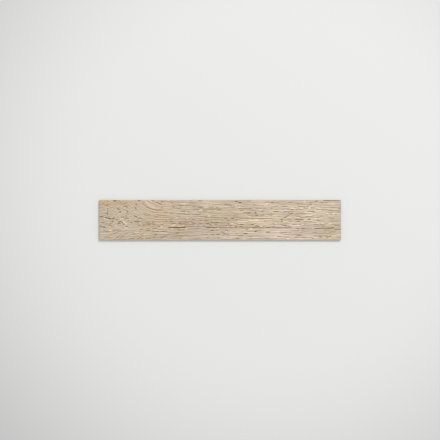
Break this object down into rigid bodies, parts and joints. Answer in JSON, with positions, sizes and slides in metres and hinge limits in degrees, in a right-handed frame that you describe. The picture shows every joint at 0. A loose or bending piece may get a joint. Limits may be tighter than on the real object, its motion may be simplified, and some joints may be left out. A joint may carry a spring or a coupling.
{
  "type": "wood-look porcelain tile",
  "caption": "Rectangular porcelain plank tile with a matt wood-grain glazed face, ground square sides and a ribbed bedding back.",
  "frame": {"origin": "middle of the bedding side, on the plane of the back's ribs", "axes": "+X along the plank's length, +Y across its width, +Z out of the back towards the glazed face"},
  "size_m": [0.898, 0.148, 0.0095],
  "materials": {
    "printed_glaze": "matte"
  },
  "bodies": {
    "root": {"plank_tile": "printed_glaze"}
  },
  "joints": []
}
